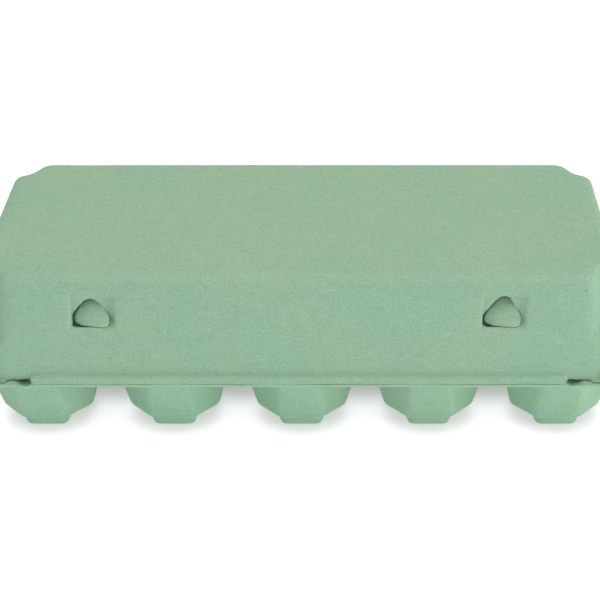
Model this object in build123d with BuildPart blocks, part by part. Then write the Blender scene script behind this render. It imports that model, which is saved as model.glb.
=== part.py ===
"""Ten-egg carton of moulded pulp: a tray of cups with a locking flap, and a hinged lid."""
from build123d import *
import math
import os

# Pulp sheet and clearances
wall = 2.0
seat_gap = 0.3
flap_gap = 0.6
overrun = 5.0

# Rim that the tray and the lid share
rim_length = 242.0
rim_width = 105.6
rim_corner = 9.0
rim_height = 33.0

# Pattern of the egg cells
columns = 5
rows = 2
end_margin = 1.0
side_margin = 5.8
column_land = 0.7
row_land = 0.7

# Cups: an eight-sided bowl with a flat front and rear, standing on a small foot
facet_turn = 45.0
mouth_cut = 2.25
cup_draft = 13.9
bevel_height = 2.8
bevel_depth = 6.5
foot_height = 2.5
foot_half_length = 7.9
foot_half_width = 9.6
foot_diagonal = 11.4
foot_draft = 19.5

# Posts between four cells, and lower pegs between two cells along the sides
post_half = 11.0
post_draft = 9.5
post_bevel = 2.0
post_gap = 0.8
peg_half = 5.0
peg_draft = 10.0
peg_bevel = 1.0
peg_height = 9.0
side_peg_gap = 3.0947
end_peg_gap = 1.4691

# Lid with drafted walls and stepped corners above a ledge
lid_height = 39.1
lid_draft = 10.0
lip = 1.5
lip_height = 2.2
lip_round = 0.8
top_round = 3.6
skirt_corner = 7.5
ledge_height = 13.7
step_length = 10.0
step_width = 10.5
step_lean = 4.5
step_fall = 2.5
step_draft = 5.5
step_round = 3.5
crease_radius = 0.9

# Latch windows in the front of the lid
pocket_width = 14.8
pocket_low = 20.4
pocket_high = 33.9
pocket_depth = 2.5
pocket_floor = 1.4
arch_width = 12.0
arch_shoulder = 2.6
arch_apex = 12.6
arch_round = 2.4

# Locking flap that stands behind the front of the lid
flap_margin = 25.5
flap_height = 31.0
flap_corner = 9.0
flap_lean = 15.4
nub_gap = 0.6
nub_round = 1.8
nub_reach = 1.9
nub_draft = 25.0

# Vents at the front corners of the lid's lip
vent_high = 2.1
vent_mid = 1.9
vent_low = 0.8
vent_run = 6.0
vent_depth = 14.0

# Derived levels and slopes
lid_base = rim_height + seat_gap
lid_top = lid_base + lid_height
ledge_level = lid_base + ledge_height
cup_top = rim_height - wall
column_pitch = (rim_length - 2 * end_margin) / columns
row_pitch = (rim_width - 2 * side_margin) / rows
mouth_half_length = column_pitch / 2 - column_land
mouth_half_width = row_pitch / 2 - row_land
mouth_diagonal = (mouth_half_length + mouth_half_width) / 2 - mouth_cut
window_place = (columns / 2 - 1) * column_pitch
flap_length = rim_length - 2 * flap_margin
lid_slope = math.tan(math.radians(lid_draft))
step_slope = math.tan(math.radians(step_draft))
cup_slope = math.tan(math.radians(cup_draft))
foot_slope = math.tan(math.radians(foot_draft))
facet_slope = (mouth_half_width - foot_half_width) / cup_top
facet_lean = math.atan(facet_slope)
wall_run = wall / math.cos(math.radians(lid_draft))


def lid_length(level, inset):
    """Length of the lid over its drafted end walls at a level."""
    return rim_length - 2 * lip - 2 * (level - lid_base) * lid_slope - 2 * inset


def lid_width(level, inset):
    """Width of the lid over its drafted long walls at a level."""
    return rim_width - 2 * lip - 2 * (level - lid_base) * lid_slope - 2 * inset


def step_outline(level, inset):
    """Corner points of the lid above the ledge, with a leaning step cut from each corner."""
    half_length = lid_length(level, inset) / 2
    half_width = lid_width(level, inset) / 2
    growth = (lid_top - level) * (lid_slope - step_slope)
    quarter = [
        (half_length, half_width - step_width - growth),
        (half_length - step_length - growth + step_lean, half_width - step_width - growth + step_fall),
        (half_length - step_length - growth, half_width),
    ]
    right = [(x, -y) for x, y in reversed(quarter)] + quarter
    return right + [(-x, -y) for x, y in right]


def lid_form(inset, drop):
    """The lid's outer form, or with an inset the hollow inside it."""
    run = inset / math.cos(math.radians(lid_draft))
    floor = lid_base - drop
    ledge = ledge_level - inset
    top = lid_top - inset
    with BuildPart() as form:
        with BuildSketch(Plane.XY.offset(floor)):
            RectangleRounded(lid_length(floor, run), lid_width(floor, run), skirt_corner - inset)
        extrude(amount=ledge - floor, taper=lid_draft)
        for level in (ledge, top):
            with BuildSketch(Plane.XY.offset(level)) as outline:
                Polygon(step_outline(level, run), align=None)
                fillet(outline.vertices(), step_round)
        loft(ruled=True)
        if inset == 0:
            fillet(form.faces().sort_by(Axis.Z)[-1].edges(), top_round)
    return form.part


def mirrored(right):
    """A closed profile from its right-hand points, listed from the bottom up."""
    return right + [(-x, z) for x, z in reversed(right)]


def overlap_form(profiles):
    """The overlap of upright prisms, each from a turn about the upright axis and its right-hand points."""
    with BuildPart() as form:
        for turn, right in profiles:
            with BuildSketch(Plane.XZ.rotated((0, 0, turn)).offset(-column_pitch)):
                Polygon(mirrored(right), align=None)
            extrude(amount=2 * column_pitch, mode=Mode.INTERSECT if form.part else Mode.ADD)
    return form.part


def bowl_profile(mouth, inset, top):
    """Right-hand points of a bowl's drafted side above its bevelled shoulder."""
    run = inset / math.cos(math.radians(cup_draft))
    floor = foot_height + inset
    shoulder = floor + bevel_height
    half = mouth - run - (cup_top - shoulder) * cup_slope
    return [(half - bevel_depth, floor), (half, shoulder), (mouth - run + (top - cup_top) * cup_slope, top)]


def cup_form(inset, top):
    """One cup's outer form, or with an inset the hollow inside it."""
    facet_run = inset / math.cos(facet_lean)
    foot_run = inset / math.cos(math.radians(foot_draft))
    foot_top = foot_height + inset + bevel_height
    side = bowl_profile(mouth_half_length, inset, top)
    diagonal = bowl_profile(mouth_diagonal, inset, top)
    foot_spread = foot_top * foot_slope - foot_run
    foot_start = inset * foot_slope - foot_run
    foot = [(foot_half_length + foot_start, inset), (foot_half_length + foot_spread, foot_top)]
    foot_corner = [(foot_diagonal + foot_start, inset), (foot_diagonal + foot_spread, foot_top)]
    facets = [
        (foot_half_width - facet_run + inset * facet_slope, inset),
        (foot_half_width - facet_run + top * facet_slope, top),
    ]
    with BuildPart() as form:
        add(overlap_form([(0, side), (facet_turn, diagonal), (-facet_turn, diagonal)]))
        add(overlap_form([(0, foot), (facet_turn, foot_corner), (-facet_turn, foot_corner)]))
        with BuildSketch(Plane.YZ.offset(-column_pitch)):
            Polygon(mirrored(facets), align=None)
        extrude(amount=2 * column_pitch, mode=Mode.INTERSECT)
    return form.part


def post_form(half, height, draft, bevel, inset, drop):
    """An eight-sided tapering post on the rim, or with an inset the hollow inside it."""
    slope = math.tan(math.radians(draft))
    run = inset / math.cos(math.radians(draft))
    top = height - inset
    side = [
        (half + drop * slope - run, rim_height - drop),
        (half - (top - bevel) * slope - run, rim_height + top - bevel),
        (half - (top - bevel) * slope - run - bevel, rim_height + top),
    ]
    return overlap_form([(turn * facet_turn, side) for turn in range(4)])


def arch_outline(inset):
    """Points of a peaked arch on its base line, or with an inset the smaller arch inside it."""
    half = arch_width / 2
    apex_drop = inset * math.hypot(half, arch_apex - arch_shoulder) / half
    shoulder = arch_shoulder - apex_drop + inset * (arch_apex - arch_shoulder) / half
    return [
        (inset - half, inset),
        (inset - half, shoulder),
        (0, arch_apex - apex_drop),
        (half - inset, shoulder),
        (half - inset, inset),
    ]


flap_place = lid_width(lid_base, wall_run) / 2 - flap_gap
cell_places = GridLocations(column_pitch, row_pitch, columns, rows)
post_places = GridLocations(column_pitch, row_pitch, columns - 1, rows - 1)
side_peg_place = flap_place - wall / math.cos(math.radians(flap_lean)) - side_peg_gap - peg_half
end_peg_place = lid_length(lid_base, wall_run) / 2 - end_peg_gap - peg_half
side_pegs = GridLocations(column_pitch, 2 * side_peg_place, columns - 1, 2)
end_pegs = GridLocations(2 * end_peg_place, row_pitch, 2, rows - 1)
cup_inner = cup_form(wall, rim_height + wall)
post_height = lid_top - wall - post_gap - rim_height
post_inner = post_form(post_half, post_height, post_draft, post_bevel, wall, wall + overrun)
peg_inner = post_form(peg_half, peg_height, peg_draft, peg_bevel, wall, wall + overrun)

# Rim: a plate with the mouths of the cups, and low pegs between the cells
with BuildPart() as rim:
    with BuildSketch(Plane.XY.offset(cup_top)):
        RectangleRounded(rim_length, rim_width, rim_corner)
    extrude(amount=wall)
    for pegs in (side_pegs, end_pegs):
        with pegs:
            add(post_form(peg_half, peg_height, peg_draft, peg_bevel, 0, wall / 2))
    with cell_places:
        add(cup_inner, mode=Mode.SUBTRACT)
    with post_places:
        add(post_inner, mode=Mode.SUBTRACT)
    for pegs in (side_pegs, end_pegs):
        with pegs:
            add(peg_inner, mode=Mode.SUBTRACT)
rim.part.label = "rim"

# Cups: one hollow cup, repeated along the front row and along the rear row
with BuildPart() as cup:
    add(cup_form(0, cup_top))
    add(cup_inner, mode=Mode.SUBTRACT)
with BuildPart() as cups_front:
    with Locations((0, -row_pitch / 2)):
        with GridLocations(column_pitch, row_pitch, columns, 1):
            add(cup.part)
cups_front.part.label = "cups_front"
with BuildPart() as cups_rear:
    with Locations((0, row_pitch / 2)):
        with GridLocations(column_pitch, row_pitch, columns, 1):
            add(cup.part)
cups_rear.part.label = "cups_rear"

# Posts: hollow eight-sided columns on the rim that hold up the lid when cartons are stacked
with BuildPart() as posts:
    with post_places:
        add(post_form(post_half, post_height, post_draft, post_bevel, 0, 0))
        add(post_inner, mode=Mode.SUBTRACT)
posts.part.label = "posts"

# Flap: a leaning panel along the front of the rim, with a nub for each latch window
flap_plane = Plane(
    origin=(0, -flap_place, rim_height),
    x_dir=(1, 0, 0),
    z_dir=(0, -math.cos(math.radians(flap_lean)), math.sin(math.radians(flap_lean))),
)
with BuildPart() as flap:
    with BuildSketch(flap_plane) as flap_outline:
        with Locations((0, flap_height / 2 - wall / 4)):
            Rectangle(flap_length, flap_height + wall / 2)
        fillet(flap_outline.vertices().group_by(Axis.Y)[-1], flap_corner)
    extrude(amount=-wall)
    split(bisect_by=Plane.XY.offset(rim_height), keep=Keep.TOP)
    with BuildSketch(flap_plane) as nub_outline:
        with Locations((-window_place, pocket_low), (window_place, pocket_low)):
            Polygon(arch_outline(nub_gap), align=None)
        fillet(nub_outline.vertices().filter_by_position(Axis.Y, pocket_low + 2 * nub_gap, flap_height), nub_round)
    extrude(amount=nub_reach, taper=nub_draft)
flap.part.label = "flap"

# Lid: a drafted shell with a lip, latch windows and corner vents
lip_top = lid_base + lip_height
crease_place = lid_length(ledge_level, 0) / 2 - step_length
window_low = lid_base + pocket_low
window_high = lid_base + pocket_high
front_low = -lid_width(window_low, 0) / 2
front_high = -lid_width(window_high, 0) / 2
pocket_profile = [
    (front_high, window_high),
    (front_low + pocket_depth, window_low),
    (front_low - overrun, window_low),
    (front_high - overrun, window_high),
]
bulge_profile = [
    (front_high + wall / 2, window_high),
    (front_high + pocket_floor, window_high),
    (front_low + pocket_depth + pocket_floor, window_low),
    (front_low + wall / 2, window_low),
]
vent_start = flap_length / 2
vent_end = rim_length / 2 - rim_corner
vent_profile = [
    (vent_start, lid_base),
    (vent_start, lid_base + vent_high),
    (vent_start + vent_run, lid_base + vent_mid),
    (vent_end, lid_base + vent_low),
    (vent_end, lid_base),
]
with BuildPart() as lid:
    add(lid_form(0, 0))
    with BuildSketch(Plane.XY.offset(lid_base)):
        RectangleRounded(rim_length, rim_width, rim_corner)
    extrude(amount=lip_height)
    fillet(lid.edges().filter_by_position(Axis.Z, lid_base, lip_top).group_by(Axis.Z)[-1], lip_round)
    for side in (-1, 1):
        for front in (-1, 1):
            crease_plane = Plane(
                origin=(side * crease_place, front * lid_width(lip_top, 0) / 2, lip_top),
                z_dir=(0, -front * lid_slope, 1),
            )
            with BuildSketch(crease_plane):
                Circle(crease_radius)
            extrude(amount=ledge_height, mode=Mode.SUBTRACT)
    add(lid_form(wall, overrun), mode=Mode.SUBTRACT)
    for side in (-1, 1):
        with BuildSketch(Plane.YZ.offset(side * window_place)):
            Polygon(bulge_profile, align=None)
        extrude(amount=pocket_width / 2 + pocket_floor, both=True)
        with BuildSketch(Plane.YZ.offset(side * window_place)):
            Polygon(pocket_profile, align=None)
        extrude(amount=pocket_width / 2, both=True, mode=Mode.SUBTRACT)
        with BuildSketch(Plane.XZ) as arch:
            with Locations((side * window_place, window_low)):
                Polygon(arch_outline(0), align=None)
            fillet(arch.vertices().filter_by_position(Axis.Y, window_low + nub_gap, lid_top), arch_round)
        extrude(amount=rim_width / 2, mode=Mode.SUBTRACT)
        with BuildSketch(Plane.XZ.offset(rim_width / 2 - vent_depth)):
            Polygon([(side * x, z) for x, z in vent_profile], align=None)
        extrude(amount=vent_depth + overrun, mode=Mode.SUBTRACT)
lid.part.label = "lid"

os.makedirs("parts", exist_ok=True)
export_step(rim.part, "parts/rim.step")
export_step(cups_front.part, "parts/cups_front.step")
export_step(cups_rear.part, "parts/cups_rear.step")
export_step(posts.part, "parts/posts.step")
export_step(flap.part, "parts/flap.step")
export_step(lid.part, "parts/lid.step")
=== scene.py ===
"""Looks of a moulded pulp egg carton: soft shells, stray fibres, the hinge crease and a white studio."""

import logging
import math
from dataclasses import dataclass, field, fields
from enum import Enum
from typing import Any

import bmesh
import bpy
import numpy as np
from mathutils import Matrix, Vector, noise


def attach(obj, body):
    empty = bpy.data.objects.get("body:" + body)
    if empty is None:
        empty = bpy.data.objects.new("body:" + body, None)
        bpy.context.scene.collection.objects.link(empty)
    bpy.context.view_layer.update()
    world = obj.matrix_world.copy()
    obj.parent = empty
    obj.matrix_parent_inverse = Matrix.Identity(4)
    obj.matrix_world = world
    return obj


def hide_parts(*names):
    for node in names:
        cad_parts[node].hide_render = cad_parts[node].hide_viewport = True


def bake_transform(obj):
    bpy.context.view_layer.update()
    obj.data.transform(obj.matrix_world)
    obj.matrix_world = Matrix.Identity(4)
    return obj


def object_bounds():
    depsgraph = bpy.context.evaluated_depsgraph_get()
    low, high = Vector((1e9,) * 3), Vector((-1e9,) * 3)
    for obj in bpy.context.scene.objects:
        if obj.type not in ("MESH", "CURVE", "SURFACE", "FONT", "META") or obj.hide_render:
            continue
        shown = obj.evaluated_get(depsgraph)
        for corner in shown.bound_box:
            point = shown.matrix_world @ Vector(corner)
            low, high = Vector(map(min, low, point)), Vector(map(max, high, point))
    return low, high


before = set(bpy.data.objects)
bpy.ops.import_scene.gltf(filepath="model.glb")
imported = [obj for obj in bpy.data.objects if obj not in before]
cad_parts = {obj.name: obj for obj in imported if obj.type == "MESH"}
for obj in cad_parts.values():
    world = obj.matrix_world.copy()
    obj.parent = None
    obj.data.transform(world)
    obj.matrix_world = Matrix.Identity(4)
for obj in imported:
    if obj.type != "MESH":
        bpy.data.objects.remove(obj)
cad_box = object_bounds()

# The attribute that carries wear on rubbed edges and painted shade in creases and hollows.
RUB_AND_SHADE = "rub"
TONE = "tone"
EVEN_RUB_AND_SHADE = 0.5

Colour = tuple[float, float, float]
Point = tuple[float, float, float]
Span = tuple[float, float]
Face = tuple[int, ...]
Piece = bpy.types.Object
Mesh = bpy.types.Mesh
Material = bpy.types.Material
Socket = bpy.types.NodeSocket
WHITE = (1.0, 1.0, 1.0, 1.0)
SOCKET_KINDS = {int: "Int", float: "Float", tuple: "Vector"}
log = logging.getLogger("egg_carton")


class Body(Enum):
    """The two bodies of the carton, joined by the lid's hinge."""

    TRAY = "tray"
    LID = "lid"


class Slot(Enum):
    """The material slots of the record."""

    TRAY_PULP = "tray_pulp"
    LID_PULP = "lid_pulp"


@dataclass(frozen=True)
class Band:
    """A range of a mask's values, and the layer's share at its far end."""

    start: float
    end: float
    share: float = 1.0


class Wiring:
    """Adds nodes to a shader or geometry tree and links them."""

    def __init__(self, tree: bpy.types.NodeTree) -> None:
        """Keeps the tree that the nodes go into, and empties it."""
        self.tree = tree
        tree.nodes.clear()

    def add(self, kind: str, feeds: dict[Any, Any] | None = None, **options: Any) -> bpy.types.Node:
        """Adds one node.

        Args:
            kind: The node's type name.
            feeds: A value or an output socket for each input, by name or by number.
            options: The node's own settings.

        Returns:
            The new node.
        """
        node = self.tree.nodes.new(kind)
        for option, value in options.items():
            setattr(node, option, value)
        for key, value in (feeds or {}).items():
            if isinstance(value, Socket):
                self.tree.links.new(value, node.inputs[key])
            else:
                node.inputs[key].default_value = value
        return node

    def math(self, operation: str, first: Any, second: Any = 0.0) -> Socket:
        """Adds a Math node for numbers or sockets and returns its result."""
        return self.add("ShaderNodeMath", {0: first, 1: second}, operation=operation).outputs[0]

    def ramp(self, value: Any, low: Any, high: Any, to_low: Any = 0.0, to_high: Any = 1.0) -> Socket:
        """Maps low and high to two other values, smoothly and with clamped ends."""
        feeds = {"Value": value, "From Min": low, "From Max": high, "To Min": to_low, "To Max": to_high}
        return self.add("ShaderNodeMapRange", feeds, interpolation_type="SMOOTHSTEP").outputs["Result"]

    def band(self, mask: Socket, band: Band) -> Socket:
        """The layer's share at each value of a mask."""
        return self.ramp(mask, band.start, band.end, 0.0, band.share)

    def off(self, value: Any, level: Any = 0.0) -> Socket:
        """How far a value lies from a level, on either side."""
        return self.math("ABSOLUTE", self.math("SUBTRACT", value, level))

    def axes(self, vector: Any) -> Any:
        """The x, y and z of a vector."""
        return self.add("ShaderNodeSeparateXYZ", {0: vector}).outputs

    def vector(self, operation: str, first: Any, second: Any) -> Socket:
        """Adds a Vector Math node with two vectors, or a vector and a scale, and returns its vector."""
        feeds = {0: first, "Scale" if operation == "SCALE" else 1: second}
        return self.add("ShaderNodeVectorMath", feeds, operation=operation).outputs[0]

    def mix(self, factor: Any, first: Any, second: Any) -> Socket:
        """Mixes two colours by the second one's share and returns the result."""
        feeds = {0: factor, 6: first, 7: second}
        return self.add("ShaderNodeMix", feeds, data_type="RGBA").outputs[2]


def rgba(colour: Colour) -> tuple[float, float, float, float]:
    """The colour with a full alpha."""
    return (*colour, 1.0)


def link(piece: Piece) -> Piece:
    """Puts an object into the scene and returns it."""
    bpy.context.scene.collection.objects.link(piece)
    return piece


def plain_mesh(piece: Piece) -> None:
    """Turns an object's evaluated modifiers into its own mesh and removes them.

    Args:
        piece: The object, which keeps its name and materials.
    """
    graph = bpy.context.evaluated_depsgraph_get()
    made = bpy.data.meshes.new_from_object(piece.evaluated_get(graph))
    piece.modifiers.clear()
    piece.data = made
    made.name = piece.name
    made.polygons.foreach_set("use_smooth", [True] * len(made.polygons))


def points_of(mesh: Mesh) -> np.ndarray:
    """Reads the mesh's points.

    Args:
        mesh: The mesh.

    Returns:
        Rows of x, y and z.
    """
    flat = np.zeros(len(mesh.vertices) * 3, np.float32)
    mesh.vertices.foreach_get("co", flat)
    return flat.reshape(-1, 3).astype(float)


def set_points(mesh: Mesh, points: np.ndarray) -> None:
    """Writes rows of x, y and z back to the mesh."""
    mesh.vertices.foreach_set("co", points.astype(np.float32).ravel())
    mesh.update()


def keep_in_box(mesh: Mesh) -> None:
    """Presses points that stand proud of the measured carton back onto its box."""
    low, high = (np.array(corner) for corner in cad_box)
    set_points(mesh, np.clip(points_of(mesh), low, high))


@dataclass(frozen=True)
class PulpFinish:
    """Matte dyed paper pulp: cloudy colour, short fibres, dark specks and a felted surface."""

    name: str
    cool: Colour = (0.276, 0.470, 0.316)
    warm: Colour = (0.302, 0.474, 0.312)
    deep: Colour = (0.215, 0.385, 0.252)
    pale: Colour = (0.420, 0.585, 0.430)
    speck: Colour = (0.120, 0.170, 0.115)
    patch_scale: float = 26.0
    mottle_scale: float = 240.0
    grain_scale: float = 1350.0
    cloud_roughness: float = 0.62
    fibre_stretch: Point = (150.0, 1150.0, 1150.0)
    fibre_turn: Point = (0.35, 0.5, 0.6)
    fibre_counter: float = -2.3
    fibre_bend: float = 0.8
    speck_scale: float = 210.0
    patch: Band = Band(0.32, 0.68)
    shade: Band = Band(0.62, 0.30, 0.22)
    glint: Band = Band(0.45, 0.72, 0.36)
    pit: Band = Band(0.52, 0.28, 0.52)
    fibre: Band = Band(0.60, 0.74)
    fibre_share: float = 0.28
    worn: Band = Band(0.58, 0.95, 0.07)
    # Painted shade: how far creases and hollows are darkened towards the deep colour.
    crease: Band = Band(0.42, 0.05, 0.35)
    speck_core: Band = Band(0.13, 0.05)
    speck_rarity: Band = Band(0.955, 0.975)
    speck_share: float = 0.55
    grain_height: float = 0.6
    mottle_height: float = 0.9
    fibre_height: float = 0.5
    bump_strength: float = 0.55
    bump_depth: float = 0.00035
    dull_mottle: Span = (0.3, 0.7)
    roughness: Span = (0.86, 0.97)
    gloss: float = 0.22

    def material(self) -> Material:
        """Builds the node material.

        Returns:
            The material, on object coordinates and the attribute that lightens rubbed edges as wear and
            paints shade into creases.
        """
        made = bpy.data.materials.new(self.name)
        made.use_nodes = True
        wires = Wiring(made.node_tree)
        place = wires.add("ShaderNodeTexCoord").outputs["Object"]
        grain = self.cloud(wires, place, self.grain_scale, 3.0)
        mottle = self.cloud(wires, place, self.mottle_scale, 4.0)
        fibres = self.fibres(wires, place)
        colour = self.colour(wires, place, grain, mottle, fibres)
        height: Any = 0.0
        for layer, share in (
            (grain, self.grain_height), (mottle, self.mottle_height), (fibres, self.fibre_height)
        ):
            height = wires.math("ADD", height, wires.math("MULTIPLY", layer, share))
        feeds = {"Strength": self.bump_strength, "Distance": self.bump_depth, "Height": height}
        bump = wires.add("ShaderNodeBump", feeds)
        roughness = wires.ramp(mottle, *self.dull_mottle, *self.roughness)
        shader = wires.add("ShaderNodeBsdfPrincipled", {
            "Base Color": colour,
            "Roughness": roughness,
            "Specular IOR Level": self.gloss,
            "Normal": bump.outputs["Normal"],
        })
        wires.add("ShaderNodeOutputMaterial", {"Surface": shader.outputs["BSDF"]})
        return made

    def cloud(self, wires: Wiring, place: Socket, scale: float, detail: float) -> Socket:
        """Noise with a number of features per metre and a number of octaves."""
        feeds = {"Vector": place, "Scale": scale, "Detail": detail, "Roughness": self.cloud_roughness}
        return wires.add("ShaderNodeTexNoise", feeds).outputs[0]

    def fibres(self, wires: Wiring, place: Socket) -> Socket:
        """Short stray fibres in two directions.

        Args:
            wires: The material's wiring.
            place: The coordinates.

        Returns:
            A value near one on a fibre and near zero elsewhere.
        """
        found = []
        for turn in (self.fibre_turn, tuple(self.fibre_counter * t for t in self.fibre_turn)):
            feeds = {"Vector": place, "Rotation": turn, "Scale": self.fibre_stretch}
            turned = wires.add("ShaderNodeMapping", feeds).outputs[0]
            feeds = {"Vector": turned, "Scale": 1.0, "Detail": 1.0, "Distortion": self.fibre_bend}
            streak = wires.add("ShaderNodeTexNoise", feeds).outputs[0]
            found.append(wires.band(streak, self.fibre))
        return wires.math("MAXIMUM", found[0], found[1])

    def colour(self, wires: Wiring, place: Socket, grain: Socket, mottle: Socket, fibres: Socket) -> Socket:
        """Layers the colour from large patches down to specks, with lighter wear on rubbed edges and
        painted shade darkening the creases and hollows.

        Args:
            wires: The material's wiring.
            place: The coordinates.
            grain: The finest noise.
            mottle: The middle noise.
            fibres: The fibre mask.

        Returns:
            The colour's socket.
        """
        patch = wires.band(self.cloud(wires, place, self.patch_scale, 2.0), self.patch)
        colour = wires.mix(patch, rgba(self.cool), rgba(self.warm))
        rub = wires.add("ShaderNodeAttribute", attribute_name=RUB_AND_SHADE).outputs["Fac"]
        for share, layer in (
            (wires.band(mottle, self.shade), self.deep),
            (wires.band(grain, self.glint), self.pale),
            (wires.band(grain, self.pit), self.deep),
            (wires.math("MULTIPLY", fibres, self.fibre_share), self.pale),
            (wires.band(rub, self.worn), self.pale),
            # Painted shade: creases and hollows are darkened towards the deep colour, standing in for the
            # shade that falls in them.
            (wires.band(rub, self.crease), self.deep),
        ):
            colour = wires.mix(share, colour, rgba(layer))
        return wires.mix(self.specks(wires, place), colour, rgba(self.speck))

    def specks(self, wires: Wiring, place: Socket) -> Socket:
        """Rare dark specks of recycled paper.

        Args:
            wires: The material's wiring.
            place: The coordinates.

        Returns:
            The specks' mask.
        """
        feeds = {"Vector": place, "Scale": self.speck_scale, "Randomness": 1.0}
        cells = wires.add("ShaderNodeTexVoronoi", feeds)
        chosen = wires.add("ShaderNodeSeparateColor", {0: cells.outputs["Color"]}).outputs[0]
        near = wires.band(cells.outputs["Distance"], self.speck_core)
        rare = wires.band(chosen, self.speck_rarity)
        return wires.math("MULTIPLY", wires.math("MULTIPLY", near, rare), self.speck_share)


@dataclass(frozen=True)
class FleckFinish:
    """Loose fibres on the surface, from dark to pale by a value that each one carries."""

    name: str = "stray_fibre"
    dark: Colour = (0.150, 0.215, 0.150)
    pale: Colour = (0.450, 0.610, 0.455)
    grain_scale: float = 2200.0
    tone: Band = Band(0.18, 0.55)
    shade: Band = Band(0.4, 0.7, 0.3)
    roughness: float = 0.95
    gloss: float = 0.2

    def material(self) -> Material:
        """Builds the node material.

        Returns:
            The material, on object coordinates and each fibre's tone.
        """
        made = bpy.data.materials.new(self.name)
        made.use_nodes = True
        wires = Wiring(made.node_tree)
        place = wires.add("ShaderNodeTexCoord").outputs["Object"]
        tone = wires.add("ShaderNodeAttribute", attribute_name=TONE).outputs["Fac"]
        colour = wires.mix(wires.band(tone, self.tone), rgba(self.dark), rgba(self.pale))
        feeds = {"Vector": place, "Scale": self.grain_scale}
        grain = wires.add("ShaderNodeTexNoise", feeds).outputs[0]
        colour = wires.mix(wires.band(grain, self.shade), colour, rgba(self.dark))
        shader = wires.add("ShaderNodeBsdfPrincipled", {
            "Base Color": colour,
            "Roughness": self.roughness,
            "Specular IOR Level": self.gloss,
        })
        wires.add("ShaderNodeOutputMaterial", {"Surface": shader.outputs["BSDF"]})
        return made


class NodeTool:
    """A Geometry Nodes tree with named inputs, which is run once on an object."""

    def __init__(self, name: str) -> None:
        """Starts an empty tree that takes and gives geometry.

        Args:
            name: The tree's name.
        """
        self.tree = bpy.data.node_groups.new(name, "GeometryNodeTree")
        self.wires = Wiring(self.tree)
        self.keys: dict[str, str] = {}
        for way in ("INPUT", "OUTPUT"):
            self.tree.interface.new_socket("Geometry", in_out=way, socket_type="NodeSocketGeometry")

    def inputs(self, **kinds: str) -> bpy.types.Node:
        """Adds the named inputs.

        Args:
            kinds: The socket type of each input, by its name.

        Returns:
            The tree's input node.
        """
        for name, kind in kinds.items():
            made = self.tree.interface.new_socket(name, in_out="INPUT", socket_type="NodeSocket" + kind)
            self.keys[name] = made.identifier
        return self.wires.add("NodeGroupInput")

    def close(self, geometry: Socket, material: Socket) -> None:
        """Ends the tree in Realize Instances and Set Material.

        Args:
            geometry: The geometry made so far.
            material: The material input.
        """
        real = self.wires.add("GeometryNodeRealizeInstances", {0: geometry})
        feeds = {"Geometry": real.outputs[0], "Material": material}
        dressed = self.wires.add("GeometryNodeSetMaterial", feeds)
        self.wires.add("NodeGroupOutput", {0: dressed.outputs[0]})

    def attach(self, piece: Piece, **values: Any) -> None:
        """Puts the tree on an object with its input values.

        Args:
            piece: The object.
            values: The value of each named input.
        """
        modifier = piece.modifiers.new(self.tree.name, "NODES")
        modifier.node_group = self.tree
        for name, value in values.items():
            modifier[self.keys[name]] = value


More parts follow.
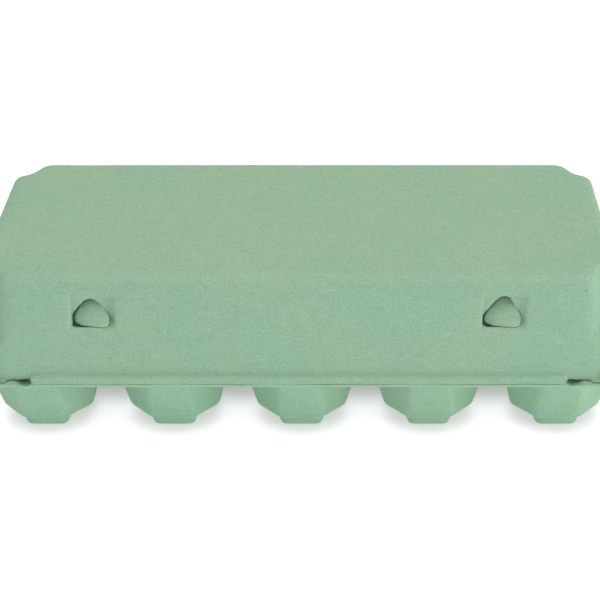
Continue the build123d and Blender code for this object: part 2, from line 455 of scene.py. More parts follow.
@dataclass
class PulpRelief:
    """The uneven surface that a felted moulding has: soft edges, slow waves, small lumps and a wavy rim."""

    soft_passes: int = 16
    cup_share: float = 0.08
    lid_share: float = 0.36
    crisp_share: float = 0.04
    crisp_level: float = 0.0345
    crisp_reach: float = 0.0020
    crisp_fade: float = 0.0014
    cup_level: float = 0.0290
    crease_level: float = 0.0358
    crease_width: float = 0.0010
    crease_depth: float = 0.00040
    window_place: Point = (0.072, -0.046, 0.0605)
    window_reach: Point = (0.0095, 0.0055, 0.0095)
    window_fade: float = 0.0035
    wave_depth: float = 0.00030
    wave_size: float = 0.034
    lump_depth: float = 0.00014
    lump_size: float = 0.0062
    rim_depth: float = 0.0006
    rim_size: float = 0.016
    crumple_depth: float = 0.00028
    crumple_size: Point = (0.011, 0.011, 0.0016)
    rim_level: float = 0.0332
    rim_band: float = 0.0042
    rim_core: float = 0.4
    still_level: float = 0.0016
    still_fade: float = 4.0
    rub_depth: float = 0.00016
    rub_passes: int = 5
    seed: float = 4.7
    crumple: Band = Band(0.5, 0.68)
    tool: NodeTool = field(init=False)
    given: Any = field(init=False)
    place: Socket = field(init=False)

    def __post_init__(self) -> None:
        """Builds the tree once for all shells."""
        self.tool = NodeTool("pulp_relief")
        wires = self.tool.wires
        given = self.given = self.tool.inputs(finish="Material", **self.kinds()).outputs
        self.place = wires.add("GeometryNodeInputPosition").outputs[0]
        core = wires.math("MULTIPLY", given["rim_band"], given["rim_core"])
        off_rim = wires.off(wires.axes(self.place)[2], given["rim_level"])
        near_rim = wires.ramp(off_rim, core, given["rim_band"], 1.0, 0.0)
        feeds = {"Geometry": given["Geometry"], "Position": self.softened()}
        soft = wires.add("GeometryNodeSetPosition", feeds).outputs[0]
        move = wires.vector("ADD", self.inward(near_rim), self.upward(near_rim))
        moved = wires.add("GeometryNodeSetPosition", {"Geometry": soft, "Offset": move}).outputs[0]
        self.tool.close(self.rub(moved), given["finish"])

    def kinds(self) -> dict[str, str]:
        """The socket type of each size that the tree takes, by its name."""
        sizes = {size.name: type(getattr(self, size.name)) for size in fields(self) if size.init}
        return {name: SOCKET_KINDS[kind] for name, kind in sizes.items() if kind in SOCKET_KINDS}

    def softened(self) -> Socket:
        """Rounds the edges, less on the cups and hardly at all at the lip and the windows.

        Returns:
            The softened place's socket.
        """
        wires, given = self.tool.wires, self.given
        height = wires.axes(self.place)[2]
        far = wires.math("ADD", given["crisp_reach"], given["crisp_fade"])
        near_lip = wires.ramp(wires.off(height, given["crisp_level"]), given["crisp_reach"], far, 1.0, 0.0)
        crisp = wires.math("MAXIMUM", near_lip, self.near_window())
        under = wires.math("SUBTRACT", given["cup_level"], given["rim_band"])
        soft = wires.ramp(height, under, given["cup_level"], given["cup_share"], given["lid_share"])
        share = wires.ramp(crisp, 0.0, 1.0, soft, given["crisp_share"])
        return self.blurred(given["soft_passes"], share)

    def inward(self, near_rim: Socket) -> Socket:
        """Presses waves, lumps, crumples and the lip's crease into the surface, and keeps the soles flat.

        Args:
            near_rim: One at the rim and zero away from it.

        Returns:
            The move's socket.
        """
        wires, given = self.tool.wires, self.given
        height = wires.axes(self.place)[2]
        normal = wires.add("GeometryNodeInputNormal").outputs[0]
        flat = wires.vector("DIVIDE", self.place, given["crumple_size"])
        fold = wires.add("ShaderNodeTexNoise", {"Vector": flat, "Scale": 1.0, "Detail": 1.0}).outputs[0]
        off_crease = wires.off(height, given["crease_level"])
        depth: Any = 0.0
        for layer, share in (
            (self.noise(self.place, "wave_size", 1.0), "wave_depth"),
            (self.noise(self.place, "lump_size", 2.0), "lump_depth"),
            (wires.math("MULTIPLY", wires.band(fold, self.crumple), near_rim), "crumple_depth"),
            (wires.ramp(off_crease, 0.0, given["crease_width"], 1.0, 0.0), "crease_depth"),
        ):
            depth = wires.math("ADD", depth, wires.math("MULTIPLY", layer, given[share]))
        free_level = wires.math("MULTIPLY", given["still_level"], given["still_fade"])
        free = wires.ramp(height, given["still_level"], free_level, 0.0, -1.0)
        level = wires.math("ABSOLUTE", wires.axes(normal)[2])
        upright = wires.math("SUBTRACT", 1.0, wires.math("MULTIPLY", near_rim, level))
        inward = wires.math("MULTIPLY", depth, wires.math("MULTIPLY", free, upright))
        return wires.vector("SCALE", normal, inward)

    def upward(self, near_rim: Socket) -> Socket:
        """Ripples the rim up and down.

        Args:
            near_rim: One at the rim and zero away from it.

        Returns:
            The move's socket.
        """
        wires, given = self.tool.wires, self.given
        across = wires.vector("MULTIPLY", self.place, (1.0, 1.0, 0.0))
        ripple = wires.math("SUBTRACT", self.noise(across, "rim_size", 2.0), 0.5)
        lift = wires.math("MULTIPLY", wires.math("MULTIPLY", ripple, near_rim), given["rim_depth"])
        return wires.add("ShaderNodeCombineXYZ", {2: lift}).outputs[0]

    def near_window(self) -> Socket:
        """Marks the surroundings of the latch windows.

        Returns:
            The socket of a mask that is one there and zero elsewhere.
        """
        wires, given = self.tool.wires, self.given
        across, behind, above = wires.axes(self.place)
        beside = wires.off(across)
        middle = wires.axes(given["window_place"])
        reach = wires.axes(given["window_reach"])
        mask: Any = 1.0
        for axis, value in enumerate((beside, behind, above)):
            far = wires.math("ADD", reach[axis], given["window_fade"])
            near = wires.ramp(wires.off(value, middle[axis]), reach[axis], far, 1.0, 0.0)
            mask = wires.math("MULTIPLY", mask, near)
        return mask

    def blurred(self, passes: Socket, share: Socket | float) -> Socket:
        """Evens each point's place out with its neighbours'.

        Args:
            passes: The number of passes.
            share: How far each pass moves a point.

        Returns:
            The evened place's socket.
        """
        wires = self.tool.wires
        feeds = {"Iterations": passes, "Weight": share}
        blur = wires.add("GeometryNodeBlurAttribute", feeds, data_type="FLOAT_VECTOR")
        wires.tree.links.new(self.place, next(s for s in blur.inputs if s.enabled and s.name == "Value"))
        return next(s for s in blur.outputs if s.enabled)

    def noise(self, place: Socket, size: str, detail: float) -> Socket:
        """Noise with features of a given size.

        Args:
            place: The coordinates.
            size: The name of the input with the feature size.
            detail: Octaves.

        Returns:
            The noise value's socket.
        """
        wires, given = self.tool.wires, self.given
        scale = wires.math("DIVIDE", 1.0, given[size])
        feeds = {"Vector": place, "W": given["seed"], "Scale": scale, "Detail": detail}
        return wires.add("ShaderNodeTexNoise", feeds, noise_dimensions="4D").outputs[0]

    def rub(self, geometry: Socket) -> Socket:
        """Stores how far each point stands out of its neighbours, from 0 in a crease to 1 on an edge; the
        material lightens the edges as wear and paints shade into the creases.

        Args:
            geometry: The moved surface.

        Returns:
            The geometry's socket.
        """
        wires, given = self.tool.wires, self.given
        normal = wires.add("GeometryNodeInputNormal").outputs[0]
        gap = wires.vector("SUBTRACT", self.place, self.blurred(given["rub_passes"], 1.0))
        feeds = {0: gap, 1: normal}
        proud = wires.add("ShaderNodeVectorMath", feeds, operation="DOT_PRODUCT").outputs["Value"]
        share = wires.ramp(proud, wires.math("MULTIPLY", given["rub_depth"], -1.0), given["rub_depth"])
        feeds = {"Geometry": geometry, "Name": RUB_AND_SHADE, "Value": share}
        stored = wires.add("GeometryNodeStoreNamedAttribute", feeds, data_type="FLOAT", domain="POINT")
        return stored.outputs[0]

    def attach(self, piece: Piece, finish: Material) -> None:
        """Puts the relief on a shell, with the shell's material."""
        values = {name: getattr(self, name) for name in self.tool.keys if name != "finish"}
        self.tool.attach(piece, finish=finish, **values)


@dataclass
class PulpShell:
    """One moulded panel of the carton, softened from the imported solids."""

    name: str
    nodes: tuple[str, ...]
    body: Body
    slot: Slot
    voxel: float = 0.0008
    weld: float = 2e-6
    triangles: int = 186000

    def build(self, relief: PulpRelief, finish: Material) -> Piece:
        """Makes the shell.

        Args:
            relief: The surface relief.
            finish: The pulp material.

        Returns:
            The finished piece, riding on its body.
        """
        piece = link(bpy.data.objects.new(self.name, self.joined()))
        remesh = piece.modifiers.new("felt", "REMESH")
        remesh.mode = "VOXEL"
        remesh.voxel_size = self.voxel
        relief.attach(piece, finish)
        plain_mesh(piece)
        self.sculpt(piece.data)
        self.thin(piece)
        keep_in_box(piece.data)
        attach(piece, self.body.value)
        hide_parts(*self.nodes)
        return piece

    def joined(self) -> Mesh:
        """Copies the shell's nodes.

        Returns:
            One welded mesh.
        """
        parts = bmesh.new()
        for node in self.nodes:
            parts.from_mesh(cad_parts[node].data)
        bmesh.ops.remove_doubles(parts, verts=parts.verts, dist=self.weld)
        mesh = bpy.data.meshes.new(self.name)
        parts.to_mesh(mesh)
        parts.free()
        return mesh

    def sculpt(self, mesh: Mesh) -> None:
        """Leaves the shell as it is, where it has nothing to shape by hand."""

    def thin(self, piece: Piece) -> None:
        """Thins flat stretches until the shell keeps to its triangle count.

        Args:
            piece: The shell.
        """
        piece.data.calc_loop_triangles()
        count = len(piece.data.loop_triangles)
        if count <= self.triangles:
            return
        thin = piece.modifiers.new("thin", "DECIMATE")
        thin.ratio = self.triangles / count
        plain_mesh(piece)


def fade(values: np.ndarray, start: float, end: float) -> np.ndarray:
    """Falls smoothly from one at start to zero at end."""
    share = np.clip((end - values) / (end - start), 0.0, 1.0)
    return share * share * (3.0 - 2.0 * share)


def grow(values: np.ndarray, start: float, end: float) -> np.ndarray:
    """Grows smoothly from zero at start to one at end."""
    return fade(-values, -end, -start)


@dataclass(frozen=True)
class RimOutline:
    """The rounded rectangle that the tray's rim and the lid's lip share."""

    half_length: float = 0.121
    half_width: float = 0.0528
    corner: float = 0.009
    reach: float = 0.0009
    band: float = 0.0011
    core: float = 0.00033
    share: float = 0.97

    def square_up(self, points: np.ndarray, level: float) -> None:
        """Draws a worn edge back out to the outline, so that the two edges close up on each other.

        Args:
            points: The shell's points, which are moved in place.
            level: The height of the edge.
        """
        inner = np.array((self.half_length - self.corner, self.half_width - self.corner))
        off = np.maximum(np.abs(points[:, :2]) - inner, 0.0)
        length = np.linalg.norm(off, axis=1)
        short = self.corner - length
        near = (length > self.corner - self.reach) & (short > 0.0)
        push = short * self.share * fade(np.abs(points[:, 2] - level), self.core, self.band) * near
        outward = np.sign(points[:, :2]) * off / np.maximum(length, self.reach)[:, None]
        points[:, :2] += outward * push[:, None]


@dataclass(frozen=True)
class LatchWindow:
    """One latch window: its place along the front, and how far its arch was punched aside and slumped."""

    place: float
    skew_low: float
    skew_high: float
    slump: float = 0.0
    low: float = 0.0537
    tall: float = 0.0103

    def at(self, share: float) -> float:
        """The height at a share of the arch, from its sill."""
        return self.low + share * self.tall

    def skew(self, levels: np.ndarray) -> np.ndarray:
        """The sideways shift at each height above the floor."""
        rise = np.clip((levels - self.low) / self.tall, 0.0, 1.0)
        return self.skew_low + (self.skew_high - self.skew_low) * rise


WINDOWS = (LatchWindow(-0.072, -0.0014, -0.0008, slump=0.0012), LatchWindow(0.072, -0.0012, 0.0001))


@dataclass
class Lid(PulpShell):
    """The lid, with skewed latch windows and a lip that settles on the rim."""

    voxel: float = 0.00076
    arch_half: float = 0.0062
    pocket_half: float = 0.0075
    skew_top: float = 1.3
    sill_high: float = 0.001
    sill_low: float = 0.003
    crown: float = 0.4
    pocket_side: float = 0.0073
    pocket_top: float = 1.15
    pocket_edge: float = 0.0006
    pocket_sink: float = 0.0006
    window_rear: float = -0.040
    rear_edge: float = 0.002
    lip_level: float = 0.0333
    lip_height: float = 0.0012
    settle: float = 0.00040
    settle_wave: float = 0.00030
    settle_size: float = 0.022
    vent_start: float = 0.0945
    vent_edge: float = 0.002
    vent_sag: float = 0.0018
    vent_close: float = 0.0014
    vent_closed: float = 0.1000
    vent_low: float = 0.0026
    vent_height: float = 0.0052
    vent_share: float = 0.93
    front: float = -0.046

    def sculpt(self, mesh: Mesh) -> None:
        """Shapes the windows, the lip and the corner vents.

        Args:
            mesh: The lid's mesh.
        """
        points = points_of(mesh)
        for window in WINDOWS:
            self.punch(points, window)
        self.seat(points)
        self.sag(points)
        set_points(mesh, points)

    def punch(self, points: np.ndarray, window: LatchWindow) -> None:
        """Moves an arch aside in its pocket, sinks the pocket and lets the arch slump.

        Args:
            points: The lid's points, which are moved in place.
            window: The latch window.
        """
        x, y, z = points.T
        outer = fade(y, self.window_rear - self.rear_edge, self.window_rear)
        arch = outer * fade(np.abs(x - window.place), self.arch_half, self.pocket_half)
        arch *= fade(z, window.at(1.0), window.at(self.skew_top))
        arch *= grow(z, window.low - self.sill_low, window.low - self.sill_high)
        x += arch * window.skew(z)
        beside = np.abs(x - window.place)
        pocket = outer * fade(beside, self.pocket_side, self.pocket_side + self.pocket_edge)
        pocket *= fade(z, window.at(1.0), window.at(self.pocket_top))
        pocket *= grow(z, window.low - self.pocket_edge, window.low)
        y += self.pocket_sink * pocket
        z -= window.slump * arch * grow(z, window.at(self.crown), window.at(1.0))

    def seat(self, points: np.ndarray) -> None:
        """Lowers the lip onto the rim, a little unevenly.

        Args:
            points: The lid's points, which are moved in place.
        """
        share = fade(points[:, 2], self.lip_level, self.lip_level + self.lip_height)
        lip = share > 0
        waves = [noise.noise(Vector((x, y, 0.0)) / self.settle_size) for x, y, _ in points[lip]]
        points[lip, 2] -= (self.settle + self.settle_wave * np.array(waves)) * share[lip]
        RimOutline().square_up(points, self.lip_level - self.settle)

    def sag(self, points: np.ndarray) -> None:
        """Lets the lip sag at the corner vents, until they close towards the ends.

        Args:
            points: The lid's points, which are moved in place.
        """
        x, y, z = points.T
        beside = np.abs(x)
        full = self.vent_start + self.vent_edge
        raised = z - self.lip_level
        vent = grow(beside, self.vent_start, full) * fade(raised, self.vent_low, self.vent_height)
        vent *= fade(y, self.front, self.front + self.vent_edge)
        drop = self.vent_sag + self.vent_close * grow(beside, full, self.vent_closed)
        z -= vent * np.minimum(drop, self.vent_share * np.maximum(raised, 0.0))


@dataclass
class Tray(PulpShell):
    """The tray with its cups, posts and locking flap, and a rim that dips under the corner vents."""

    voxel: float = 0.00088
    foot_levels: tuple[float, ...] = (0.0, 0.0025, 0.0053)
    foot_seen: tuple[float, ...] = (0.0, 0.0039, 0.0053)
    rim_level: float = 0.033
    under_level: float = 0.0315
    under_reach: float = 0.0020
    under_share: float = 0.65
    dip: float = 0.0006
    dip_start: float = 0.0958
    dip_edge: float = 0.001
    dip_end: float = 0.1022
    dip_run: float = 0.006
    dip_middle: float = 0.032
    dip_band: Span = (0.0014, 0.0030)
    front: float = -0.047
    front_edge: float = 0.003
    ledge_dip: float = 0.0012
    ledge_run: float = 0.004
    ledge_front: Span = (-0.0526, -0.0518)
    ledge_rear: Span = (-0.0455, -0.0445)
    ledge_band: Span = (0.0004, 0.0010)

    def sculpt(self, mesh: Mesh) -> None:
        """Squares the rim's edges, sharpens the step above the feet and dips the rim's front corners.

        Args:
            mesh: The tray's mesh.
        """
        points = points_of(mesh)
        RimOutline().square_up(points, self.rim_level)
        RimOutline(reach=self.under_reach, share=self.under_share).square_up(points, self.under_level)
        x, y, z = points.T
        feet = z < self.foot_levels[-1]
        z[feet] = np.interp(z[feet], self.foot_levels, self.foot_seen)
        beside = np.abs(x)
        corner = grow(beside, self.dip_start - self.dip_edge, self.dip_start + self.dip_edge)
        share = corner * fade(beside, self.dip_end - self.dip_run, self.dip_end)
        share *= fade(y, self.front - self.front_edge, self.front)
        share *= fade(np.abs(z - self.dip_middle), *self.dip_band)
        hollow = corner * fade(beside, self.dip_end - self.ledge_run, self.dip_end)
        hollow *= grow(y, *self.ledge_front) * fade(y, *self.ledge_rear)
        hollow *= fade(np.abs(z - self.rim_level), *self.ledge_band)
        z -= self.dip * share + self.ledge_dip * hollow
        set_points(mesh, points)


def pulp_piece(
    name: str, points: list[Point], faces: list[Face], finish: Material
) -> Piece:
    """Makes a small smooth piece of pulp, with the middle value of edge wear and painted crease shade,
    which adds neither.

    Args:
        name: The piece's name.
        points: Its points.
        faces: Its faces.
        finish: The pulp material.

    Returns:
        The piece, in the scene.
    """
    mesh = bpy.data.meshes.new(name)
    mesh.from_pydata(points, [], faces)
    shaped = bmesh.new()
    shaped.from_mesh(mesh)
    bmesh.ops.recalc_face_normals(shaped, faces=shaped.faces)
    shaped.to_mesh(mesh)
    shaped.free()
    mesh.polygons.foreach_set("use_smooth", [True] * len(mesh.polygons))
    # The middle value gives neither lighter worn edges nor painted shade in creases.
    mesh.attributes.new(RUB_AND_SHADE, "FLOAT", "POINT").data.foreach_set("value", [EVEN_RUB_AND_SHADE] * len(mesh.vertices))
    mesh.materials.append(finish)
    return link(bpy.data.objects.new(name, mesh))


@dataclass
class LatchNubs:
    """The knuckles of the locking flap, pressed out into the latch windows."""

    name: str = "latch_nubs"
    body: Body = Body.TRAY
    slot: Slot = Slot.TRAY_PULP
    half: float = 0.0066
    shoulder: float = 0.0031
    apex: float = 0.0118
    low: float = -0.0007
    aside: float = 0.0007
    rounds: tuple[float, ...] = (0.0036, 0.0022, 0.0022, 0.0046, 0.0022)
    face_low: float = -0.0472
    face_high: float = -0.0390
    face_curve: float = 1.5
    side_lean: float = 0.0021
    lean_start: float = 0.2
    corner_limit: float = 0.45
    rear: float = -0.0420
    rear_lean: float = 0.275
    shelf: float = 0.92
    rings: int = 18
    steps: int = 9
    crinkle: float = 0.00025
    crinkle_size: float = 0.0032

    def build(self, finish: Material) -> Piece:
        """Makes the nubs.

        Args:
            finish: The pulp material.

        Returns:
            The finished piece, riding on the tray.
        """
        points: list[Point] = []
        faces: list[Face] = []
        for window in WINDOWS:
            self.nub(window, points, faces)
        piece = pulp_piece(self.name, points, faces, finish)
        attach(piece, self.body.value)
        return piece

    def outline(self) -> np.ndarray:
        """Draws the nub as seen from the front, with rounded corners.

        Returns:
            Rows of x and height above the window's sill.
        """
        corners = np.array([
            (-self.half, self.low), (self.half, self.low), (self.half, self.shoulder),
            (0.0, self.apex), (-self.half, self.shoulder),
        ])
        found = []
        for k, cut in enumerate(self.rounds):
            here, sides = corners[k], (corners[k - 1], corners[(k + 1) % len(corners)])
            first, last = (
                here + (side - here) * min(self.corner_limit, cut / np.linalg.norm(side - here))
                for side in sides
            )
            for t in np.linspace(0.0, 1.0, self.steps):
                found.append((1 - t) ** 2 * first + 2 * t * (1 - t) * here + t**2 * last)
        return np.array(found)

    def nub(self, window: LatchWindow, points: list[Point], faces: list[Face]) -> None:
        """Adds one nub: rings that shrink from the outline to the middle of its face.

        Args:
            window: The window that the nub fills.
            points: The points made so far.
            faces: The faces made so far.
        """
        ring = self.outline()
        count, start = len(ring), len(points)
        middle = np.array((0.0, self.shoulder + self.half / 3))
        for step in range(self.rings):
            size = 1.0 - step / self.rings
            for x, rise in middle + (ring - middle) * size:
                level = window.low + rise
                slope = max(rise / self.apex, 0.0) ** self.face_curve
                face = self.face_low + (self.face_high - self.face_low) * slope
                face += self.side_lean * max(0.0, self.lean_start - x / self.half) ** 2
                turn = np.clip((size - self.shelf) / (1.0 - self.shelf), 0.0, 1.0)
                place = Vector((window.place + x, 0.0, level))
                wave = noise.noise(place / self.crinkle_size)
                rear = self.rear + self.rear_lean * max(rise, 0.0)
                depth = face + (rear - face) * turn**3 + self.crinkle * wave * (1.0 - turn)
                shift = float(window.skew(np.array([level]))[0])
                points.append((float(place.x + shift + self.aside), float(depth), float(level)))
        last = start + (self.rings - 1) * count
        for step in range(self.rings - 1):
            for k in range(count):
                a, b = start + step * count + k, start + step * count + (k + 1) % count
                faces.append((a, b, b + count, a + count))
        faces.append(tuple(range(last, last + count)))
        faces.append(tuple(reversed(range(start, start + count))))


@dataclass
class HingeCrease:
    """The creased strip of pulp that joins the tray and the lid along the rear."""

    name: str = "hinge_crease"
    half_length: float = 0.1115
    low: float = 0.0313
    high: float = 0.0352
    inner: float = 0.0521
    outer: float = 0.05272
    fold_low: float = 0.0326
    fold_high: float = 0.0338
    stations: int = 160
    levels: int = 15
    crinkle: float = 0.00022
    crinkle_size: float = 0.006
    slot: Slot = Slot.TRAY_PULP

    def build(self, finish: Material) -> Piece:
        """Makes the strip between the two bodies; it rides on neither of them.

        Args:
            finish: The pulp material.

        Returns:
            The finished piece.
        """
        piece = pulp_piece(self.name, self.points(), self.faces(), finish)
        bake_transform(piece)
        return piece

    def points(self) -> list[Point]:
        """Crinkles the cross-section along the strip's length.

        Returns:
            The strip's points.
        """
        levels = np.linspace(self.low, self.high, self.levels)
        ring = [(self.outer, z) for z in levels] + [(self.inner, z) for z in reversed(levels)]
        found = []
        for x in np.linspace(-self.half_length, self.half_length, self.stations):
            for y, z in ring:
                wave = noise.noise(Vector((x, y, z)) / self.crinkle_size)
                found.append((float(x), float(y - self.crinkle * (0.5 + 0.5 * wave)), float(z)))
        return found

    def faces(self) -> list[Face]:
        """Joins the points into the strip's sides and its two end caps.

        Returns:
            The strip's faces.
        """
        around = 2 * self.levels
        last = (self.stations - 1) * around
        found: list[Face] = []
        for row in range(0, last, around):
            for k in range(around):
                beside = (k + 1) % around
                found.append((row + k, row + beside, row + around + beside, row + around + k))
        for first in (0, last):
            found += [
                (first + k, first + k + 1, first + around - 2 - k, first + around - 1 - k)
                for k in range(self.levels - 1)
            ]
        return found


@dataclass
class StrayFibres:
    """Short fibres and crumbs of paper that lie on a shell's surface."""

    name: str
    body: Body
    slot: Slot
    density: float = 5200.0
    length: float = 0.0011
    slimness: float = 0.22
    flatness: float = 0.08
    smallest: float = 0.35
    seed: int = 11

    def build(self, shell: Piece, finish: Material) -> Piece:
        """Scatters the fibres.

        Args:
            shell: The shell that they lie on.
            finish: The fibres' material.

        Returns:
            The finished piece, riding on the shell's body.
        """
        piece = link(bpy.data.objects.new(self.name, shell.data.copy()))
        tool = self.tool()
        size = (self.length, self.length * self.slimness, self.length * self.flatness)
        tool.attach(piece, density=self.density, size=size, seed=self.seed, finish=finish)
        plain_mesh(piece)
        keep_in_box(piece.data)
        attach(piece, self.body.value)
        return piece

    def tool(self) -> NodeTool:
        """Builds the tree that scatters fibres on faces, turned at random about the surface's normal.

        Returns:
            The tree.
        """
        tool = NodeTool(self.name)
        wires = tool.wires
        given = tool.inputs(density="Float", size="Vector", seed="Int", finish="Material").outputs
        feeds = {"Mesh": given["Geometry"], "Density": given["density"], "Seed": given["seed"]}
        spread = wires.add("GeometryNodeDistributePointsOnFaces", feeds)
        grain = wires.add("GeometryNodeMeshIcoSphere", {"Radius": 0.5, "Subdivisions": 1}).outputs[0]
        spin = self.draw(wires, given["seed"], 0.0, math.tau)
        feeds = {"Axis": (0.0, 0.0, 1.0), "Angle": spin}
        turn = wires.add("FunctionNodeAxisAngleToRotation", feeds).outputs[0]
        feeds = {"Rotation": spread.outputs["Rotation"], "Rotate By": turn}
        lie = wires.add("FunctionNodeRotateRotation", feeds, rotation_space="LOCAL").outputs[0]
        share = self.draw(wires, wires.math("ADD", given["seed"], 1.0), self.smallest, 1.0)
        size = wires.vector("SCALE", given["size"], share)
        feeds = {"Points": spread.outputs["Points"], "Instance": grain, "Rotation": lie, "Scale": size}
        placed = wires.add("GeometryNodeInstanceOnPoints", feeds).outputs[0]
        tone = self.draw(wires, wires.math("ADD", given["seed"], 2.0), 0.0, 1.0)
        feeds = {"Geometry": placed, "Name": TONE, "Value": tone}
        toned = wires.add("GeometryNodeStoreNamedAttribute", feeds, data_type="FLOAT", domain="INSTANCE")
        tool.close(toned.outputs[0], given["finish"])
        return tool

    def draw(self, wires: Wiring, seed: Socket, low: float, high: float) -> Socket:
        """A random number for each fibre.

        Args:
            wires: The tree's wiring.
            seed: The draw's seed.
            low: The lowest value.
            high: The highest value.

        Returns:
            The number's socket.
        """
        made = wires.add("FunctionNodeRandomValue", data_type="FLOAT")
        floats = [s for s in made.inputs if s.enabled]
        floats[0].default_value, floats[1].default_value = low, high
        wires.tree.links.new(seed, made.inputs["Seed"])
        return next(s for s in made.outputs if s.enabled)


@dataclass(frozen=True)
class Lamp:
    """One soft square lamp, aimed at the carton."""

    name: str
    place: Point
    size: float
    power: float
    colour: Colour


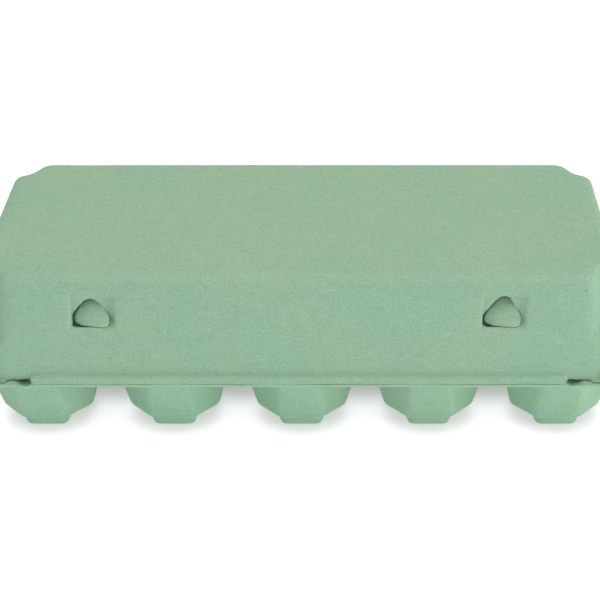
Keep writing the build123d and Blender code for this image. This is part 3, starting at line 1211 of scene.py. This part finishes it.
@dataclass
class Studio:
    """White floor, soft lamps, a pale sky and the camera at the photograph's angle."""

    aim: Point = (0.016, 0.0, 0.035)
    camera_distance: float = 0.565
    camera_lift: float = 32.0
    lens: float = 88.08
    shift_x: float = -0.0732
    shift_y: float = 0.001
    clip: Span = (0.01, 20.0)
    floor_half: float = 3.0
    floor_drop: float = 0.0002
    table_bounce: Colour = (0.87, 0.90, 0.92)
    table_seen: Colour = (0.54, 0.48, 0.54)
    table_glow: float = 0.815
    table_light: float = 0.48
    table_tint: Colour = (0.97, 0.97, 1.05)
    # Painted shadow on the table's glow: contact shade near the carton and shade by place beneath it.
    contact_reach: float = 0.009
    contact_open: Span = (0.3, 0.95)
    painted_contact_depth: float = 0.34
    under_near: float = 0.008
    under_far: float = 0.024
    under_end: float = 0.100
    painted_under_depth: float = 0.42
    sky: float = 0.38
    sky_colour: Colour = (0.94, 0.99, 1.0)
    lamps: tuple[Lamp, ...] = (
        Lamp("top", (0.0, 0.0, 1.2), 1.2, 10.2, (1.0, 0.87, 0.87)),
        Lamp("key", (-0.05, -0.75, 0.75), 0.35, 1.0, (1.0, 0.94, 0.93)),
        Lamp("right", (1.20, -0.36, 0.18), 0.7, 7.0, (0.97, 1.0, 1.0)),
    )

    def build(self) -> None:
        """Sets up the whole studio."""
        bpy.context.scene.view_settings.view_transform = "Standard"
        self.floor()
        self.world()
        for lamp in self.lamps:
            self.lamp(lamp)
        self.camera()

    def floor(self) -> None:
        """Lays a white table, faintly lit from below, that keeps the carton's cast shadow and adds painted
        shadow to its glow: a contact shade by ambient occlusion near the carton and a shade by place
        beneath its middle.
        """
        half = self.floor_half
        corners = [(x * half, y * half, -self.floor_drop) for x, y in ((-1, -1), (1, -1), (1, 1), (-1, 1))]
        mesh = bpy.data.meshes.new("floor")
        mesh.from_pydata(corners, [], [(0, 1, 2, 3)])
        white = bpy.data.materials.new("floor_white")
        white.use_nodes = True
        wires = Wiring(white.node_tree)
        seen = self.seen(wires)
        tint = wires.mix(seen, rgba(self.table_bounce), rgba(self.table_seen))
        matte = wires.add("ShaderNodeBsdfDiffuse", {"Color": tint})
        # Painted shadow: the table's glow for the camera is dimmed near the carton by ambient occlusion and
        # beneath it by place.
        open_sky = wires.add("ShaderNodeAmbientOcclusion", {"Distance": self.contact_reach}).outputs["AO"]
        painted_contact_shade = wires.ramp(open_sky, *self.contact_open, self.painted_contact_depth, 0.0)
        dark = wires.math("ADD", painted_contact_shade, self.under(wires))
        clear = wires.math("SUBTRACT", self.table_glow, dark)
        shown = wires.ramp(seen, 0.0, 1.0, self.table_light, clear)
        glow_tint = wires.mix(seen, rgba(self.table_tint), WHITE)
        glow = wires.add("ShaderNodeEmission", {"Color": glow_tint, "Strength": shown})
        both = wires.add("ShaderNodeAddShader", {0: matte.outputs[0], 1: glow.outputs[0]})
        wires.add("ShaderNodeOutputMaterial", {"Surface": both.outputs[0]})
        mesh.materials.append(white)
        link(bpy.data.objects.new("floor", mesh))

    def under(self, wires: Wiring) -> Socket:
        """Paints a shadow beneath the middle of the carton by dimming the table's glow by place, where
        little light reaches.

        Args:
            wires: The table's wiring.

        Returns:
            The socket with the glow that is lost.
        """
        place = wires.add("ShaderNodeTexCoord").outputs["Object"]
        axes = wires.axes(place)
        across, along = wires.off(axes[1]), wires.off(axes[0])
        lost = wires.ramp(across, self.under_near, self.under_far, self.painted_under_depth, 0.0)
        inside = wires.ramp(along, self.under_end, self.under_end + self.under_far, 1.0, 0.0)
        return wires.math("MULTIPLY", lost, inside)

    def seen(self, wires: Wiring) -> Socket:
        """Tells rays that show the background from rays that light the carton.

        Args:
            wires: The node tree that uses it.

        Returns:
            A socket with one for the first and zero for the second.
        """
        path = wires.add("ShaderNodeLightPath").outputs
        shown = wires.math("MAXIMUM", path["Is Camera Ray"], path["Is Glossy Ray"])
        return wires.math("MAXIMUM", shown, path["Is Transmission Ray"])

    def world(self) -> None:
        """Makes an even sky that looks white to the camera."""
        sky = bpy.data.worlds.new("studio")
        sky.use_nodes = True
        wires = Wiring(sky.node_tree)
        light = wires.add("ShaderNodeBackground", {"Color": rgba(self.sky_colour), "Strength": self.sky})
        white = wires.add("ShaderNodeBackground", {"Color": WHITE, "Strength": 1.0})
        feeds = {0: self.seen(wires), 1: light.outputs[0], 2: white.outputs[0]}
        wires.add("ShaderNodeOutputWorld", {"Surface": wires.add("ShaderNodeMixShader", feeds).outputs[0]})
        bpy.context.scene.world = sky

    def lamp(self, lamp: Lamp) -> None:
        """Hangs one lamp.

        Args:
            lamp: The lamp's place, size and power.
        """
        data = bpy.data.lights.new(lamp.name, "AREA")
        data.size = lamp.size
        data.energy = lamp.power
        data.color = lamp.colour
        hung = link(bpy.data.objects.new(lamp.name, data))
        hung.location = lamp.place
        hung.rotation_euler = (Vector(self.aim) - Vector(lamp.place)).to_track_quat("-Z", "Y").to_euler()

    def camera(self) -> None:
        """Places the camera."""
        data = bpy.data.cameras.new("camera")
        data.lens = self.lens
        data.shift_x = self.shift_x
        data.shift_y = self.shift_y
        data.clip_start, data.clip_end = self.clip
        lift = math.radians(self.camera_lift)
        back = Vector((0.0, -math.cos(lift), math.sin(lift)))
        stand = link(bpy.data.objects.new("camera", data))
        stand.location = Vector(self.aim) + back * self.camera_distance
        stand.rotation_euler = (-back).to_track_quat("-Z", "Y").to_euler()
        bpy.context.scene.camera = stand


def main() -> None:
    """Builds the carton's looks and the studio."""
    logging.basicConfig(level=logging.INFO, format="%(name)s %(message)s")
    relief = PulpRelief()
    tray_pulp = PulpFinish("tray_pulp").material()
    lid_pulp = PulpFinish("lid_pulp").material()
    fleck = FleckFinish().material()
    tray_nodes = ("rim", "cups_front", "cups_rear", "posts", "flap")
    tray = Tray("tray_shell", tray_nodes, Body.TRAY, Slot.TRAY_PULP).build(relief, tray_pulp)
    lid = Lid("lid_shell", ("lid",), Body.LID, Slot.LID_PULP).build(relief, lid_pulp)
    pieces = (
        tray,
        lid,
        LatchNubs().build(tray_pulp),
        HingeCrease().build(tray_pulp),
        StrayFibres("tray_fibres", Body.TRAY, Slot.TRAY_PULP, seed=11).build(tray, fleck),
        StrayFibres("lid_fibres", Body.LID, Slot.LID_PULP, seed=29).build(lid, fleck),
    )
    for piece in pieces:
        log.info("%s: %d faces", piece.name, len(piece.data.polygons))
    Studio().build()


if __name__ == "__main__":
    main()
